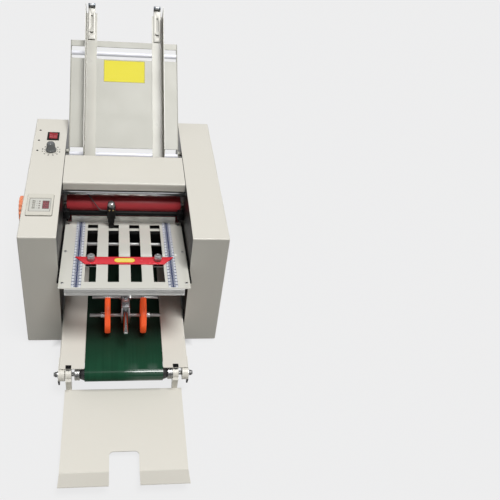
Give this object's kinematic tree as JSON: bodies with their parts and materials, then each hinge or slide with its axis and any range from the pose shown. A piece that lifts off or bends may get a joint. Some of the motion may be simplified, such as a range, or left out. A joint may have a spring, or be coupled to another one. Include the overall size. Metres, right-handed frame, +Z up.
{
  "type": "paper folding machine",
  "caption": "Desktop paper folding machine: sloping feed board with sliding side guides, geared fold rollers, slotted fold trays, delivery belt and hinged receiving tray.",
  "frame": {"origin": "on the table, under the middle of the machine's overall box", "axes": "+X to the right across the paper, +Y to the back where the feed board rises, +Z up"},
  "size_m": [0.42, 0.951, 0.5114],
  "materials": {
    "painted_cream": "fine satin powder coat",
    "frame_steel": "zinc plated sheet",
    "chrome": "polished plate",
    "bronze": "turned",
    "bar_aluminium": "ribbed, satin",
    "gear_steel": "hobbed and oiled",
    "roller_rubber": "ground, satin",
    "feed_rubber": "ground, matt",
    "black_rubber": "matt",
    "belt_green": "fine fabric face",
    "black_plastic": "satin",
    "motor_grey": "painted casting",
    "separator_grey": "moulded",
    "orange_rubber": "satin",
    "orange_plastic": "satin",
    "stop_red": "gloss paint",
    "counter_cream": "moulded",
    "display_red": "smoked window",
    "button_grey": "moulded",
    "rocker_red": "translucent",
    "knob_black": "moulded, fluted"
  },
  "bodies": {
    "frame": {"left_frame_plate": "frame_steel", "right_frame_plate": "frame_steel", "left_side_cover": "painted_cream", "right_side_cover": "painted_cream", "rubber_feet": "black_rubber", "tie_rods": "chrome", "roller_bearings": "bronze", "roller_cover": "painted_cream", "drive_belts": "black_rubber", "motor": "motor_grey", "separator_block": "separator_grey", "feed_board": "painted_cream", "front_tray_top_plate": "painted_cream", "front_tray_lower_plate": "painted_cream", "front_tray_rails": "bar_aluminium", "rear_tray_plates": "painted_cream", "rear_tray_rails": "bar_aluminium", "sensor_bar": "black_plastic", "counter_sensor": "black_plastic", "sensor_lead": "black_rubber", "conveyor_side_rails": "painted_cream", "conveyor_belt": "belt_green", "front_roller_shaft": "chrome", "centre_rod": "chrome", "counter_housing": "counter_cream", "counter_display": "display_red", "switch_housing": "black_plastic", "speed_potentiometer": "frame_steel", "power_inlet": "black_plastic"},
    "fold_roller_1": {"fold_roller_1": "roller_rubber", "fold_gear_1": "gear_steel"},
    "fold_roller_2": {"fold_roller_2": "roller_rubber", "fold_gear_2": "gear_steel", "hand_wheel": "orange_plastic"},
    "fold_roller_3": {"fold_roller_3": "roller_rubber", "fold_gear_3": "gear_steel"},
    "fold_roller_4": {"fold_roller_4": "roller_rubber", "fold_gear_4": "gear_steel"},
    "feed_roller": {"feed_roller": "feed_rubber"},
    "motor_rotor": {"motor_pulley": "bar_aluminium"},
    "conveyor_front_roller": {"conveyor_front_roller": "black_plastic"},
    "conveyor_rear_roller": {"conveyor_rear_roller": "black_plastic"},
    "wheel_carriage": {"wheel_carriage": "chrome"},
    "exit_wheels": {"exit_wheels": "orange_rubber", "exit_wheel_shaft": "chrome"},
    "front_paper_stop": {"front_paper_stop": "stop_red"},
    "rear_paper_stop": {"rear_paper_stop": "stop_red"},
    "left_paper_guide": {"left_paper_guide": "painted_cream"},
    "right_paper_guide": {"right_paper_guide": "painted_cream"},
    "left_guide_extension": {"left_guide_extension": "painted_cream"},
    "right_guide_extension": {"right_guide_extension": "painted_cream"},
    "receiving_tray": {"receiving_tray": "painted_cream", "receiving_tray_hooks": "painted_cream", "receiving_tray_feet": "black_rubber"},
    "speed_knob": {"speed_knob": "knob_black"},
    "rocker": {"rocker": "rocker_red"},
    "counter_button_1": {"counter_button_1": "button_grey"},
    "counter_button_2": {"counter_button_2": "button_grey"},
    "counter_button_3": {"counter_button_3": "button_grey"},
    "counter_button_4": {"counter_button_4": "button_grey"}
  },
  "joints": [
    {"name": "roller_2_spin", "type": "hinge", "parent": "frame", "child": "fold_roller_2", "pos_m": [0.012, 0.09182, 0.1874], "axis": [1, 0, 0], "continuous": true},
    {"name": "roller_1_spin", "type": "hinge", "parent": "frame", "child": "fold_roller_1", "pos_m": [0.012, 0.07245, 0.22263], "axis": [1, 0, 0], "continuous": true},
    {"name": "roller_3_spin", "type": "hinge", "parent": "frame", "child": "fold_roller_3", "pos_m": [0.012, 0.06223, 0.16019], "axis": [1, 0, 0], "continuous": true},
    {"name": "roller_4_spin", "type": "hinge", "parent": "frame", "child": "fold_roller_4", "pos_m": [0.012, 0.08178, 0.12506], "axis": [1, 0, 0], "continuous": true},
    {"name": "feed_spin", "type": "hinge", "parent": "frame", "child": "feed_roller", "pos_m": [0.012, 0.15272, 0.2149], "axis": [1, 0, 0], "continuous": true},
    {"name": "motor_spin", "type": "hinge", "parent": "frame", "child": "motor_rotor", "pos_m": [0.012, 0.20682, 0.06], "axis": [1, 0, 0], "continuous": true},
    {"name": "conveyor_rear_spin", "type": "hinge", "parent": "frame", "child": "conveyor_rear_roller", "pos_m": [0.012, 0.06182, 0.0545], "axis": [1, 0, 0], "continuous": true},
    {"name": "conveyor_front_spin", "type": "hinge", "parent": "frame", "child": "conveyor_front_roller", "pos_m": [0.012, -0.25118, 0.0545], "axis": [1, 0, 0], "continuous": true},
    {"name": "wheel_carriage_slide", "type": "slide", "parent": "frame", "child": "wheel_carriage", "axis": [0, 1, 0], "range_m": [-0.05, 0.075]},
    {"name": "exit_wheel_spin", "type": "hinge", "parent": "wheel_carriage", "child": "exit_wheels", "pos_m": [0.012, -0.14418, 0.106], "axis": [1, 0, 0], "continuous": true},
    {"name": "front_stop_slide", "type": "slide", "parent": "frame", "child": "front_paper_stop", "axis": [0, -0.9903, 0.1392], "range_m": [-0.1, 0.065]},
    {"name": "rear_stop_slide", "type": "slide", "parent": "frame", "child": "rear_paper_stop", "axis": [0, 0.9848, -0.1736], "range_m": [-0.1, 0.065]},
    {"name": "left_guide_slide", "type": "slide", "parent": "frame", "child": "left_paper_guide", "axis": [1, 0, 0], "range_m": [-0.018, 0.042]},
    {"name": "right_guide_slide", "type": "slide", "parent": "frame", "child": "right_paper_guide", "axis": [1, 0, 0], "range_m": [-0.042, 0.018]},
    {"name": "left_extension_slide", "type": "slide", "parent": "left_paper_guide", "child": "left_guide_extension", "axis": [0, 0.7952, 0.6064], "range_m": [-0.036, 0]},
    {"name": "right_extension_slide", "type": "slide", "parent": "right_paper_guide", "child": "right_guide_extension", "axis": [0, 0.7952, 0.6064], "range_m": [-0.036, 0]},
    {"name": "receiving_tray_hinge", "type": "hinge", "parent": "frame", "child": "receiving_tray", "pos_m": [0.012, -0.25118, 0.0545], "axis": [-1, 0, 0], "range_deg": [0, 90]},
    {"name": "speed_knob_turn", "type": "hinge", "parent": "frame", "child": "speed_knob", "pos_m": [-0.145, 0.17032, 0.3], "axis": [0, 0, 1], "range_deg": [-135, 135]},
    {"name": "rocker_tilt", "type": "hinge", "parent": "frame", "child": "rocker", "pos_m": [-0.144, 0.22682, 0.2906], "axis": [0, -1, 0], "range_deg": [0, 10]},
    {"name": "counter_button_1_press", "type": "slide", "parent": "frame", "child": "counter_button_1", "axis": [0, 0, -1], "range_m": [0, 0.001], "stiffness_N_per_m": 200},
    {"name": "counter_button_2_press", "type": "slide", "parent": "frame", "child": "counter_button_2", "axis": [0, 0, -1], "range_m": [0, 0.001], "stiffness_N_per_m": 200},
    {"name": "counter_button_3_press", "type": "slide", "parent": "frame", "child": "counter_button_3", "axis": [0, 0, -1], "range_m": [0, 0.001], "stiffness_N_per_m": 200},
    {"name": "counter_button_4_press", "type": "slide", "parent": "frame", "child": "counter_button_4", "axis": [0, 0, -1], "range_m": [0, 0.001], "stiffness_N_per_m": 200}
  ],
  "couplings": [
    {"joint": "roller_1_spin", "follows": "roller_2_spin", "ratio": -1},
    {"joint": "roller_3_spin", "follows": "roller_2_spin", "ratio": -1},
    {"joint": "roller_4_spin", "follows": "roller_2_spin", "ratio": 1},
    {"joint": "feed_spin", "follows": "roller_2_spin", "ratio": 0.71429},
    {"joint": "motor_spin", "follows": "roller_2_spin", "ratio": 2.5},
    {"joint": "conveyor_rear_spin", "follows": "roller_2_spin", "ratio": 0.83333},
    {"joint": "conveyor_front_spin", "follows": "roller_2_spin", "ratio": 0.83333},
    {"joint": "exit_wheel_spin", "follows": "roller_2_spin", "ratio": -0.33333}
  ]
}
